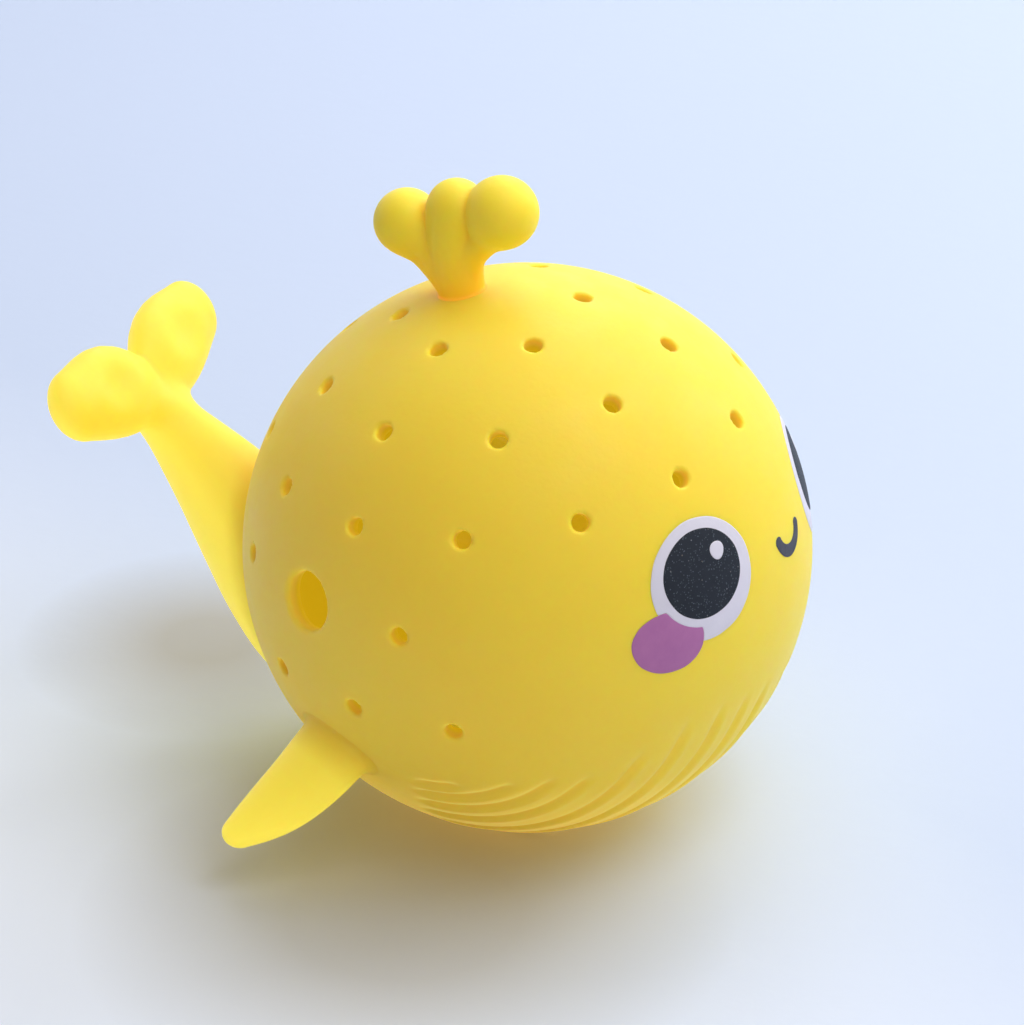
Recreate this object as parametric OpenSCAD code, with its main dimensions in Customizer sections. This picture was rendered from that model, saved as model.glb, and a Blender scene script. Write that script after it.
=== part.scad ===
// Round whale bath toy. Millimetres, +X is the nose, +Y is the whale's left, +Z is up.
// The origin is the middle of the flat that the belly rests on.

/* [Body] */
// Diameter of the round body
body_d = 70; // [60:1:80]
// Wall of the soft shell
wall = 2.2; // [1.8:0.1:2.8]
// How much of the ball the belly flat cuts off
belly_cut = 2; // [1.6:0.1:2.4]

/* [Holes] */
// Diameter of a spray hole
hole_d = 2.2; // [1.6:0.1:3]
// Diameter of the fill port in the right flank
port_d = 7.1; // [5:0.1:9]
// Backward tilt of the axis that the top rings go round, in degrees
ring_tilt = 5; // [0:1:8]
// Sideways lean of that axis towards the right flank, in degrees
ring_lean = 7; // [0:1:8]

/* [Belly pleats] */
// Radius of the round tool that cuts a pleat
pleat_r = 0.8; // [0.6:0.05:1]
// Depth of a pleat
pleat_depth = 0.4; // [0.2:0.05:0.6]

/* [Spout] */
// Distance of the spout's foot behind the crown
spout_back = 7; // [6:0.1:9]
// Distance of the spout from the middle plane towards the right flank
spout_right = 1.4; // [0:0.1:3]
// Diameter of the stem at its foot
stem_foot_d = 5.2; // [4:0.1:7]
// Diameter of the middle lobe
middle_lobe_d = 7.4; // [6:0.1:9]
// Height of the middle lobe's centre above the crown
middle_lobe_rise = 9; // [7:0.1:11]
// Distance of the middle lobe behind the stem's foot
middle_lobe_reach = 1.8; // [0:0.1:3]
// Diameter of the front lobe
front_lobe_d = 8.8; // [7:0.1:10]
// Height of the front lobe's centre above the crown
front_lobe_rise = 9.5; // [7:0.1:11]
// Distance of the front lobe ahead of the stem's foot
front_lobe_reach = 4.2; // [3:0.1:7]
// Diameter of the rear lobe
rear_lobe_d = 7.8; // [6:0.1:10]
// Height of the rear lobe's centre above the crown
rear_lobe_rise = 6.1; // [5:0.1:8]
// Distance of the rear lobe behind the stem's foot
rear_lobe_reach = 8.4; // [6:0.1:10]
// Thickness of the arms that carry the front and rear lobes
arm_d = 4.8; // [4:0.1:6]

/* [Tail] */
// Distance from the ball to the fork of the flukes, straight back
tail_reach = 16.8; // [14:0.1:20]
// Height of the fork above the ball's centre
tail_height = 11.4; // [9:0.1:13]
// Rise of the tail's stem, in degrees
tail_rise = 49; // [44:1:51]
// Sideways set that the soft tail has taken towards the right flank, in degrees
tail_sway = 1.3; // [0:0.1:6]
// Length of the stem from the fork to its buried end
tail_len = 43; // [41:0.5:45]
// How far the stem's lower end is drawn in under the ball
tail_tuck = 5.6; // [5:0.1:6.5]
// Thickness of the stem at the fork
tail_neck_d = 5.8; // [5:0.1:8]
// Thickness of the stem where it leaves the ball
tail_root_d = 20.4; // [18:0.1:21]
// Rise of the flukes' plane, in degrees
fluke_rise = 59; // [50:1:65]
// Length of a fluke from the fork to its tip
fluke_len = 19.8; // [16:0.1:23]
// Width of a fluke
fluke_w = 11.9; // [10:0.1:14]
// Thickness of a fluke
fluke_t = 6.4; // [4:0.1:8]
// Angle between a fluke and the stem's line, in degrees
fluke_splay = 72; // [60:1:80]

/* [Fins] */
// Length of a fin outside the ball
fin_len = 17.5; // [14:0.1:22]
// Width of a fin at its root
fin_w = 10; // [7:0.1:12]
// Thickness of a fin at its root
fin_t = 6.4; // [4:0.1:7]
// Bow of a fin's middle line
fin_bow = 0.9; // [0:0.1:2]

/* [Printed face] */
// Diameter of the white of an eye
eye_d = 14.8; // [12:0.1:17]
// Diameter of a pupil
pupil_d = 11; // [8:0.1:13]
// Height of an eye glint
glint_h = 2.2; // [1.5:0.1:3.5]
// Width of an eye glint
glint_w = 2.1; // [1:0.1:2.5]
// Length of a cheek spot
cheek_w = 9.7; // [7:0.1:11]
// Height of a cheek spot
cheek_h = 7.5; // [5:0.1:9]
// Width of the bare white rim between a pupil and the cheek spot
cheek_gap = 1; // [0.6:0.1:1.6]
// Width of the smile between its stroke's middle lines
smile_w = 5.6; // [4:0.1:8]
// Depth of the smile's bow
smile_bow = 2; // [1.5:0.1:2.5]
// Width of the smile's stroke
smile_line = 1.5; // [0.8:0.1:2]
// Thickness of the ink
ink_t = 0.15; // [0.1:0.01:0.3]

/* [Belly plug] */
// Diameter of the plug's flange
plug_d = 17; // [15:0.1:18]
// Thickness of the plug's flange
plug_t = 1.2; // [1:0.1:1.6]
// Diameter of the plug's neck
neck_d = 12; // [10:0.1:13]
// Diameter of the plug's lip and cup inside the shell
cup_d = 15; // [14:0.1:17]
// Height of the cup above the belly pad
cup_h = 4.5; // [4:0.1:6]
// Diameter of the moulded pad round the plug
pad_d = 26; // [20:0.5:28]
// Thickness of the pad
pad_t = 3.4; // [3:0.1:4]
// Diameter of the vent through the plug
vent_d = 3; // [2:0.1:4]

/* [Squeaker] */
// Diameter of the bellows over its folds
bellows_d = 22; // [18:0.5:22]
// Diameter of the bellows inside its folds
bellows_core_d = 15; // [13:0.5:16]
// Wall of the bellows
bellows_wall = 0.9; // [0.7:0.05:1.1]
// Height of the bellows at rest
bellows_h = 36; // [28:0.5:38]
// Number of folds
folds = 6; // [4:1:8]
// Thickness of the squeaker's base
base_t = 1.6; // [1.2:0.1:2.4]
// How far the press cap stands out past the top of the bellows
cap_lip = 0.6; // [0.2:0.1:1.4]
// Thickness of the press cap
cap_t = 2.2; // [1.6:0.1:3]
// Diameter of the button on the cap
button_d = 9; // [7:0.5:11]
// Height of the button on the cap
button_h = 1.6; // [1:0.1:2.4]
// Outer diameter of the whistle tube
whistle_d = 6.8; // [6.4:0.1:7.4]
// Bore of the whistle tube
whistle_bore = 4.8; // [4.6:0.1:5]
// Length of the whistle tube
whistle_h = 12; // [11:0.1:13]
// Length of the reed's free tongue
reed_len = 7; // [6:0.1:7.5]
// Width of the reed
reed_w = 2.4; // [2:0.1:2.6]
// Thickness of the reed
reed_t = 0.3; // [0.2:0.02:0.36]

/* [Hidden] */
$fn = 64;

left = 1;
right = -1;

// Clearances: bonded pieces, printed layers, moulded fits and the reed's running gap
bond_gap = 0.05;
ink_gap = 0.01;
fit_gap = 0.1;
reed_gap = 0.12;
// How far a cut runs past the faces it goes through
overrun = 1;

body_r = body_d / 2;
ball_z = body_r - belly_cut;

// Top rings: polar angle, azimuth of the first hole to the left of the nose, azimuth step, holes
top_rings = [
    [36.6, 15, -360 / 9, 9],
    [55.6, 7.5, -360 / 13, 13]
];
// The crown ring gives way to the spout's foot, so its holes have angles of their own
crown_polar = 18.6;
crown_azimuths = [31, -36, -104, -168, 89];
// Flank rows: azimuth of the first hole from the nose, azimuth step, elevation, holes on each side
flank_rows = [
    [90.6, 23.4, 8, 4],
    [79.6, 22.1, -11.2, 4]
];
// The fill port takes this place in the upper flank row
port_index = 1;
port_azimuth = flank_rows[0][0] + port_index * flank_rows[0][1];
port_elevation = flank_rows[0][2];

// Pleats run fore and aft in planes beside the middle plane.
// Each has the angle that sets its plane and the angle below the nose where it begins.
pleats = [[6, 12], [14, 12], [22, 12], [30, 14], [38, 22], [46, 33], [52, 38], [57, 50], [61, 70]];
// The two inner pleats stop short of the belly flat, the others end under the ball's middle
pleat_end_inner = 64;
pleat_end = 97;
inner_pleats = 2;

// Both glints lie above their pupil's middle and to the whale's left of it, as one lamp would set them
glint_shift = 4.3;
glint_rise = 3.4;

// Printed face: azimuth from the nose and elevation of each print
eye_azimuth = 27;
eye_elevation = 16.3;
pupil_azimuth = 27.1;
pupil_elevation = 17.5;
cheek_azimuth = 36.8;
cheek_elevation = 6;
cheek_turn = 9;
smile_azimuth = 1.6;
smile_elevation = 15;

// Fins: where the root sits on the ball, and where the fin points
fin_azimuth = 112.7;
fin_elevation = -27;
fin_dir = [-0.563, 0.572, -0.585];
fin_buried = 3;

// Each bonded piece has a round spigot that goes through a socket in the shell's wall
spout_spigot_d = 3.6;
spout_azimuth = 180 + atan(spout_right / spout_back);
spout_elevation = 90 - asin(norm([spout_back, spout_right]) / body_r);
tail_spigot_d = 9;
tail_azimuth = 180 + tail_sway;
tail_spigot_elevation = -20;
fin_spigot_d = 4.4;

// Squeaker stack, from the belly up
cup_top = pad_t + cup_h;
base_top = cup_top + base_t;
bellows_top = base_top + bellows_h;
whistle_foot = pad_t + plug_t;
whistle_top = whistle_foot + whistle_h;
reed_inset = 1.6;
reed_foot = whistle_top - reed_len - reed_inset;

// Small vector tools
function unit(v) = v / norm(v);
function lerp(a, b, s) = a + (b - a) * s;

// Places children so that +Z points out of the ball at a direction seen from its centre
module facing(azimuth, elevation) {
    translate([0, 0, ball_z])
        rotate([0, 0, azimuth])
            rotate([0, 90 - elevation, 0])
                children();
}

// A round-ended limb between two points, with a thickness at each
module limb(a, da, b, db) {
    d = b - a;
    turn = [0, acos(d[2] / norm(d)), atan2(d[1], d[0])];
    translate(a) rotate(turn) cylinder(h = norm(d), d1 = da, d2 = db);
    translate(b) sphere(d = db);
}

// One ring of a loft: centre, half width as a vector and half thickness as a vector
function loft_ring(c, w, t, n) = [for (i = [0 : n - 1]) c + w * cos(360 * i / n) + t * sin(360 * i / n)];

// Skin over rings that all have n points, which run counterclockwise to an eye that looks along the loft
module loft(rings, n) {
    last = len(rings) - 1;
    pts = [for (r = rings) each r];
    sides = [for (k = [0 : last - 1], i = [0 : n - 1])
        let (j = (i + 1) % n, a = k * n, b = a + n)
        each [[a + i, a + j, b + i], [a + j, b + j, b + i]]];
    low = [for (i = [1 : n - 2]) [0, i + 1, i]];
    high = [for (i = [1 : n - 2]) [last * n, last * n + i, last * n + i + 1]];
    polyhedron(points = pts, faces = concat(sides, low, high), convexity = 4);
}

// A round hole through the shell along +Z of the place that faces out
module wall_drill(d) {
    translate([0, 0, body_r - wall - overrun]) cylinder(h = wall + 2 * overrun, d = d);
}

module spray_holes() {
    translate([0, 0, ball_z]) rotate([ring_lean, -ring_tilt, 0]) translate([0, 0, -ball_z]) {
        for (a = crown_azimuths) facing(a, 90 - crown_polar) wall_drill(hole_d);
        for (r = top_rings, i = [0 : r[3] - 1]) facing(r[1] + i * r[2], 90 - r[0]) wall_drill(hole_d);
    }
    for (side = [left, right], r = [0, 1], i = [0 : flank_rows[r][3] - 1])
        if (!(side == right && r == 0 && i == port_index))
            facing(side * (flank_rows[r][0] + i * flank_rows[r][1]), flank_rows[r][2]) wall_drill(hole_d);
    facing(right * port_azimuth, port_elevation) wall_drill(port_d);
}

// Radial spigot of a bonded piece, and the sockets that take the spigots
module spigot(azimuth, elevation, d) {
    facing(azimuth, elevation) translate([0, 0, body_r - wall]) cylinder(h = wall + overrun, d = d);
}
module sockets() {
    facing(spout_azimuth, spout_elevation) wall_drill(spout_spigot_d);
    facing(tail_azimuth, tail_spigot_elevation) wall_drill(tail_spigot_d);
    for (side = [left, right]) facing(side * fin_azimuth, fin_elevation) wall_drill(fin_spigot_d);
}

module belly_pleats() {
    spread = body_r + pleat_r - pleat_depth;
    for (side = [left, right], k = [0 : len(pleats) - 1]) {
        plane = pleats[k][0];
        begin = pleats[k][1];
        finish = k < inner_pleats ? pleat_end_inner : pleat_end;
        translate([0, 0, ball_z]) rotate([-90, 0, 0]) rotate([0, 0, begin])
            rotate_extrude(angle = finish - begin)
                translate([spread * cos(plane), side * spread * sin(plane)]) circle(r = pleat_r);
    }
}

// Hollow ball with a flat belly, a pad round the plug, spray holes, fill port and pleats
module body_shell() {
    color("gold") difference() {
        intersection() {
            translate([0, 0, ball_z]) sphere(r = body_r);
            translate([-body_d, -body_d, 0]) cube(2 * body_d);
        }
        difference() {
            translate([0, 0, ball_z]) sphere(r = body_r - wall);
            cylinder(h = pad_t, d = pad_d);
        }
        translate([0, 0, -overrun]) cylinder(h = pad_t + 2 * overrun, d = neck_d + 2 * fit_gap);
        translate([0, 0, -overrun]) cylinder(h = plug_t + overrun, d = plug_d + 2 * fit_gap);
        spray_holes();
        sockets();
        belly_pleats();
    }
}

// What is left outside the ball, a hair off its skin, where the piece is bonded
module outside_ball() {
    difference() {
        children();
        translate([0, 0, ball_z]) sphere(r = body_r + bond_gap);
    }
}

// Three lobes on one stem, set fore and aft. The rear arm leaves the stem lower than the front one:
// both places are shares of the stem's thickness above its foot.
front_fork_share = 0.6;
rear_fork_share = 0.4;
// Sides of its rounds: the whole piece is kept as flat faces, so they are fewer than elsewhere
spout_sides = 40;
module spout() {
    crown = ball_z + body_r;
    foot = [-spout_back, -spout_right, ball_z + body_r * sin(spout_elevation) - overrun];
    front_fork = foot + [0, 0, stem_foot_d * front_fork_share];
    rear_fork = foot + [0, 0, stem_foot_d * rear_fork_share];
    middle = [-spout_back - middle_lobe_reach, -spout_right, crown + middle_lobe_rise];
    front = [-spout_back + front_lobe_reach, -spout_right, crown + front_lobe_rise];
    rear = [-spout_back - rear_lobe_reach, -spout_right, crown + rear_lobe_rise];
    color("gold") {
        outside_ball() {
            limb(foot, stem_foot_d, middle, middle_lobe_d, $fn = spout_sides);
            limb(front_fork, arm_d, front, (arm_d + front_lobe_d) / 2, $fn = spout_sides);
            limb(rear_fork, arm_d, rear, (arm_d + rear_lobe_d) / 2, $fn = spout_sides);
            translate(front) sphere(d = front_lobe_d, $fn = spout_sides);
            translate(rear) sphere(d = rear_lobe_d, $fn = spout_sides);
        }
        spigot(spout_azimuth, spout_elevation, spout_spigot_d - 2 * fit_gap);
    }
}

// Tapered stem that climbs from the lower back, with two paddle flukes
tail_sides = 20;
tail_line = [-cos(tail_rise), 0, sin(tail_rise)];
tail_up = [sin(tail_rise), 0, cos(tail_rise)];
fluke_line = [-cos(fluke_rise), 0, sin(fluke_rise)];
fluke_up = [sin(fluke_rise), 0, cos(fluke_rise)];
tail_fork = [-body_r - tail_reach, 0, ball_z + tail_height];
tail_stations = [0, 0.2, 0.4, 0.6, 0.7, 0.8, 0.9, 1];
// Shares of the stem's length, from the fork: full thickness reached, and the bend inwards begun
tail_full_share = 0.8;
tail_bend_share = 0.68;
// Share of its thickness that the buried end keeps
tail_end_share = 0.7;

function bend(q) = max(0, (q - tail_bend_share) / (1 - tail_bend_share));
function stem_ring(q) =
    let (
        c = tail_fork - tail_line * tail_len * q + tail_up * tail_tuck * pow(bend(q), 2),
        turn = atan(2 * tail_tuck * bend(q) / (tail_len * (1 - tail_bend_share))),
        up = tail_up * cos(turn) + tail_line * sin(turn),
        full = lerp(tail_neck_d, tail_root_d, min(1, q / tail_full_share)),
        r = full / 2 * lerp(1, tail_end_share, pow(bend(q), 4))
    )
    loft_ring(c, [0, -r, 0], up * r, tail_sides);

// Share of the full width along a fluke: waisted at the fork, widest at the middle.
// Each fluke begins a little on the other side of the fork, inside the other one.
fluke_stations = [-0.12, 0.2, 0.4, 0.6, 0.72, 0.82, 0.9, 0.96, 0.99];
fluke_fork_share = 0.72;
fluke_wide_share = 0.5;
function fluke_width_share(s) = s < fluke_wide_share
    ? lerp(fluke_fork_share, 1, sin(90 * s / fluke_wide_share))
    : sqrt(1 - pow((s - fluke_wide_share) / (1 - fluke_wide_share), 2));
function fluke_ring(s, side) =
    let (
        axis = fluke_line * cos(fluke_splay) + [0, side, 0] * sin(fluke_splay),
        across = cross(axis, fluke_up),
        share = fluke_width_share(s),
        round_share = s < fluke_wide_share ? 1 : share,
        thick = lerp(tail_neck_d, fluke_t, min(1, s / fluke_wide_share)) * round_share
    )
    loft_ring(tail_fork + axis * fluke_len * s, side * across * fluke_w * share / 2,
        side * fluke_up * thick / 2, tail_sides);

module tail() {
    color("gold") rotate([0, 0, tail_sway]) {
        outside_ball() {
            loft([for (q = tail_stations) stem_ring(q)], tail_sides);
            translate(tail_fork) sphere(d = tail_neck_d, $fn = 20);
            for (side = [left, right]) loft([for (s = fluke_stations) fluke_ring(s, side)], tail_sides);
        }
        spigot(180, tail_spigot_elevation, tail_spigot_d - 2 * fit_gap);
    }
}

// Plump tapered fin, bowed, swept back and down
fin_sides = 20;
fin_stations = [0, 0.12, 0.25, 0.4, 0.55, 0.7, 0.82, 0.91, 0.97, 0.995];
// Share of the root's width that is lost towards the tip, before its rounding begins
fin_taper_share = 0.42;
// Power that rounds the tip: the higher it is, the blunter the fin
fin_blunt = 6;
function fin_share(s) = (1 - fin_taper_share * s) * sqrt(1 - pow(s, fin_blunt));
function fin_ring(s) =
    let (
        axis = unit(fin_dir),
        chord = unit([1, 0, 0] - axis * axis[0]),
        level = cos(fin_elevation),
        out = [level * cos(fin_azimuth), level * sin(fin_azimuth), sin(fin_elevation)],
        root = [0, 0, ball_z] + body_r * out,
        c = root + axis * lerp(-fin_buried, fin_len, s) + chord * fin_bow * sin(180 * s)
    )
    loft_ring(c, chord * fin_w / 2 * fin_share(s), cross(chord, axis) * fin_t / 2 * fin_share(s),
        fin_sides);

module fin() {
    color("gold") {
        outside_ball() loft([for (s = fin_stations) fin_ring(s)], fin_sides);
        spigot(fin_azimuth, fin_elevation, fin_spigot_d - 2 * fit_gap);
    }
}
module fin_left() {
    fin();
}
module fin_right() {
    mirror([0, 1, 0]) fin();
}

// Ink film of one layer, shaped by a flat outline pushed out along its own direction
module print_film(layer, azimuth, elevation) {
    low = body_r + bond_gap + layer * (ink_t + ink_gap);
    intersection() {
        difference() {
            translate([0, 0, ball_z]) sphere(r = low + ink_t);
            translate([0, 0, ball_z]) sphere(r = low);
        }
        facing(azimuth, elevation) linear_extrude(height = body_d) children();
    }
}

// Oval outline: its first size lies across the whale, its second up and down
module oval(w, h) {
    polygon([for (i = [0 : 47]) [h / 2 * sin(7.5 * i), w / 2 * cos(7.5 * i)]]);
}

module eye_disc(side, d, grow) {
    facing(side * pupil_azimuth, pupil_elevation) cylinder(h = body_d, d = d + 2 * grow);
}

module cheek_block(side, grow) {
    facing(side * cheek_azimuth, cheek_elevation)
        linear_extrude(height = body_d)
            rotate(side * cheek_turn) oval(cheek_w + 2 * grow, cheek_h + 2 * grow);
}

// White disc, cut where the cheek spot is printed over its edge
module eye_white(side) {
    color("white") difference() {
        print_film(0, side * eye_azimuth, eye_elevation) circle(d = eye_d);
        difference() {
            cheek_block(side, ink_gap);
            eye_disc(side, pupil_d, cheek_gap);
        }
    }
}
module eye_white_left() {
    eye_white(left);
}
module eye_white_right() {
    eye_white(right);
}

module pupil_left() {
    color("midnightblue") print_film(1, left * pupil_azimuth, pupil_elevation) circle(d = pupil_d);
}
module pupil_right() {
    color("midnightblue") print_film(1, right * pupil_azimuth, pupil_elevation) circle(d = pupil_d);
}

module eye_glint(side) {
    color("white") print_film(2, side * pupil_azimuth + glint_shift, pupil_elevation + glint_rise)
        oval(glint_w, glint_h);
}
module eye_glint_left() {
    eye_glint(left);
}
module eye_glint_right() {
    eye_glint(right);
}

// Spot below and behind the eye, hollowed where it leaves a rim round the pupil
module cheek(side) {
    color("mediumorchid") difference() {
        print_film(0, side * cheek_azimuth, cheek_elevation)
            rotate(side * cheek_turn) oval(cheek_w, cheek_h);
        eye_disc(side, pupil_d, cheek_gap + ink_gap);
    }
}
module cheek_left() {
    cheek(left);
}
module cheek_right() {
    cheek(right);
}

// Bowed stroke with round ends, in the plane of the print: its first axis points down
module smile_outline() {
    half = smile_w / 2;
    r = (half * half + smile_bow * smile_bow) / (2 * smile_bow);
    spread = acos((r - smile_bow) / r);
    reach = r + smile_line;
    translate([smile_bow - r, 0]) {
        intersection() {
            difference() {
                circle(r = r + smile_line / 2);
                circle(r = r - smile_line / 2);
            }
            polygon([[0, 0], for (i = [-2 : 2]) 2 * reach * [cos(spread * i / 2), sin(spread * i / 2)]]);
        }
        for (s = [-1, 1]) rotate(s * spread) translate([r, 0]) circle(d = smile_line);
    }
}
module smile() {
    color("darkslategray") print_film(0, smile_azimuth, smile_elevation) smile_outline();
}

// Soft plug: flange flush with the belly flat, neck, and a cup that grips the squeaker's base
module belly_plug() {
    color("khaki") difference() {
        union() {
            cylinder(h = plug_t, d = plug_d);
            cylinder(h = pad_t + plug_t, d = neck_d);
            translate([0, 0, pad_t]) cylinder(h = cup_h, d = cup_d);
        }
        translate([0, 0, pad_t + plug_t]) cylinder(h = cup_h, d = neck_d - 2 * fit_gap);
        translate([0, 0, -overrun]) cylinder(h = pad_t + plug_t + 2 * overrun, d = vent_d);
    }
}

// Stiff disc with a spigot in the plug's cup and a bore for the whistle
module squeaker_base() {
    spigot = cup_h - plug_t;
    color("ivory") difference() {
        union() {
            translate([0, 0, cup_top]) cylinder(h = base_t, d = bellows_d);
            translate([0, 0, cup_top - spigot]) cylinder(h = spigot + base_t, d = neck_d - 4 * fit_gap);
        }
        translate([0, 0, cup_top - spigot - overrun])
            cylinder(h = spigot + base_t + 2 * overrun, d = whistle_d + 2 * fit_gap);
    }
}

// Fold profile: an even zigzag between the core and the outer diameter, one wall thick
module bellows() {
    fold_h = bellows_h / folds;
    inner = bellows_core_d / 2;
    outer = bellows_d / 2;
    path = [for (i = [0 : 2 * folds])
        [i % 2 == 0 ? inner : outer - bellows_wall, base_top + i * fold_h / 2]];
    back = [for (i = [2 * folds : -1 : 0]) path[i] + [bellows_wall, 0]];
    color("lightyellow") rotate_extrude() polygon(concat(path, back));
}

// Disc that closes the bellows, with a low button
module press_cap() {
    color("ivory") translate([0, 0, bellows_top]) {
        cylinder(h = cap_t, d = bellows_core_d + 2 * bellows_wall + 2 * cap_lip);
        cylinder(h = cap_t + button_h, d = button_d);
    }
}

module whistle_tube() {
    color("white") translate([0, 0, whistle_foot]) difference() {
        cylinder(h = whistle_h, d = whistle_d);
        translate([0, 0, -overrun]) cylinder(h = whistle_h + 2 * overrun, d = whistle_bore);
    }
}

// Half-round seat with an air slot behind the reed and a full-round foot that closes the bore
module reed_seat() {
    seat_d = whistle_bore - 2 * bond_gap;
    slot_w = reed_w / 2;
    color("gainsboro") translate([0, 0, whistle_foot]) difference() {
        cylinder(h = whistle_h, d = seat_d);
        translate([0, -whistle_bore, reed_foot - whistle_foot])
            cube([whistle_bore, 2 * whistle_bore, whistle_h]);
        translate([-slot_w, -slot_w / 2, -overrun]) cube([whistle_bore, slot_w, whistle_h - reed_inset]);
    }
}

// Thin tongue that stands on the seat's step and covers the slot
module reed() {
    color("goldenrod") translate([reed_gap, -reed_w / 2, reed_foot + bond_gap])
        cube([reed_t, reed_w, reed_len]);
}

body_shell();
spout();
tail();
fin_left();
fin_right();
eye_white_left();
eye_white_right();
pupil_left();
pupil_right();
eye_glint_left();
eye_glint_right();
cheek_left();
cheek_right();
smile();
belly_plug();
squeaker_base();
bellows();
press_cap();
whistle_tube();
reed_seat();
reed();
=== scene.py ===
import math

import bmesh
import bpy
import numpy as np
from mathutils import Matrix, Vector
from mathutils.geometry import delaunay_2d_cdt


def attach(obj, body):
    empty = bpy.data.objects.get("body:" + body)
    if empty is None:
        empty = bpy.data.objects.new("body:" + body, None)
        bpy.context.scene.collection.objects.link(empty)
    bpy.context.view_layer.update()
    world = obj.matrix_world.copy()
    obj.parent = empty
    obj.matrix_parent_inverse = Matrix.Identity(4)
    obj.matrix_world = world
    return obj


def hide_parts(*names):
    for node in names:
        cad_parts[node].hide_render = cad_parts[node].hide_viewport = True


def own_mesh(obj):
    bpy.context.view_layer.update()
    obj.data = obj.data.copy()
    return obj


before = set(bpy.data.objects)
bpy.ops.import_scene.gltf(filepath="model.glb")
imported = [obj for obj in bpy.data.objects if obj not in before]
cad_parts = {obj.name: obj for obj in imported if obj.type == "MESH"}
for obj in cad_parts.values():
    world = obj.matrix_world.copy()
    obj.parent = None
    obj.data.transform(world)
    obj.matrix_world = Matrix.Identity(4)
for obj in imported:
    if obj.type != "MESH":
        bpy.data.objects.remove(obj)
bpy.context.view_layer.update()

# A round soft-vinyl whale for the bath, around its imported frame.
# Shapes are worked out in millimetres from the ball's centre: x to the nose, y to the whale's left, z up.

MM = 0.001

# Body: the ball, its middle over the ground, the pad inside the belly, and the seat of the plug in it
BALL_R = 35.0
WALL = 2.2
BALL_Z = 33.0
PAD_R = 13.0
PAD_T = 3.4
PLUG_R = 8.6
PLUG_T = 1.2
NECK_R = 6.1
EDGE_FILLET = 0.6
CAVITY_FILLET = 0.8

# Holes, and the filling hole or port
HOLE_R = 1.1
HOLE_RIM = 0.3
PORT_R = 3.55
PORT_RIM = 0.8
# Rings of holes round the spout, in degrees: how far they tip back and to the right; azimuth and angle from
# their pole for each hole of the crown; angle from the pole, first azimuth, step and count of the wider rings
RING_TILT = 5.0
RING_LEAN = 7.0
CROWN_RING = [(31, 18.4), (-37, 17.5), (-104, 16.6), (-168, 18.8), (89, 22.0)]
TOP_RINGS = [(36.6, 15.2, -40.0, 9), (55.6, 7.5, -360 / 13, 13)]
# Rows of each flank: first azimuth, step, elevation and count; the port takes one place of the right upper row
FLANK_ROWS = [(90.6, 23.4, 8.0, 4), (79.6, 22.1, -11.2, 4)]
PORT_PLACE = 1

# Fingers of the spout from the buried foot upwards: x, y, z, radius; a ball ends the outer two
SPOUT_FOOT = (-7.0, -2.15, 32.0, 2.5)
MIDDLE_FINGER = [(-8.5, -2.05, 37.1, 2.8), (-9.1, -1.4, 40.6, 3.35), (-8.8, -1.0, 44.0, 3.65)]
FRONT_FINGER = [(-7.3, -1.8, 37.8, 2.25), (-4.85, -1.3, 41.4, 2.3), (-2.85, -1.0, 44.5, 3.6)]
REAR_FINGER = [(-8.8, -2.0, 35.3, 2.5), (-12.2, -1.4, 38.6, 2.75), (-15.4, -1.0, 41.15, 3.3)]
FRONT_LOBE = (-2.85, -1.0, 44.55, 4.4)
REAR_LOBE = (-15.4, -1.0, 41.15, 3.9)
FINGER_BLEND = 0.35
FRONT_LOBE_BLEND = 1.2
REAR_LOBE_BLEND = 1.6

# Stem of the tail, from the fork to the buried end: x, z, radius; the soft tail has set a little to the right
TAIL_STEM = [(-49.4, 7.4, 3.7), (-42.75, 0.85, 5.95), (-36.7, -5.8, 8.05), (-32.1, -11.3, 9.3),
             (-27.0, -15.2, 10.4), (-20.8, -17.2, 10.0)]
TAIL_SWAY = math.radians(1.3)
# Flukes: rise of their plane, and along a fluke: distance past the fork, distance sideways and half width
FLUKE_RISE = math.radians(58.8)
FLUKE = [(5.25, 1.55, 4.2), (7.85, 7.35, 5.95), (9.2, 14.45, 4.65)]
FLUKE_THIN = 0.56
# Dimple of a fluke: distance past the fork, distance sideways, height of the tool's middle and its radius
DIMPLE = (8.4, 8.6, 9.4, 6.6)
DIMPLE_BLEND = 1.5
FLUKE_BLEND = 3.0
TAIL_ROOT_BLEND = 2.0

# Fins: root on the ball, direction, length, and half width at shares of the length
FIN_ROOT = np.array([-12.1, 29.0, -16.0])
FIN_DIR = np.array([-0.563, 0.572, -0.585])
FIN_LEN = 17.5
FIN_STATIONS = [(-0.18, 5.0), (0.0, 5.0), (0.25, 4.6), (0.5, 3.95), (0.7, 3.1), (0.875, 2.1)]
FIN_FLAT = (0.64, 0.85)
FIN_BOW = 0.9
FIN_ROOT_BLEND = 1.1

# Belly pleats: angle of the fore-and-aft plane, angle below the nose where each begins and ends
PLEATS = [(6.5, 13, 62), (14, 12.5, 64), (21.5, 12, 96), (30, 14, 98), (38, 22, 98),
          (46, 33, 98), (52, 38, 97), (57, 49, 96), (61, 69, 95)]
PLEAT_DEPTH = 0.45
PLEAT_HALF = 0.72
PLEAT_FADE = 9
# Swelling beside each pleat: height, distance from the pleat, half width
PLEAT_SWELL = (0.12, 1.1, 0.7)

# Holes are cut only farther from the ball's centre than this
HOLES_FROM = 28


def unit(v):
    v = np.asarray(v, float)
    return v / np.linalg.norm(v)


def direction(azimuth, elevation):
    """Unit vector at an azimuth from the nose to the whale's left, and an elevation, in degrees."""
    a, e = math.radians(azimuth), math.radians(elevation)
    return np.array([math.cos(e) * math.cos(a), math.cos(e) * math.sin(a), math.sin(e)])


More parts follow.
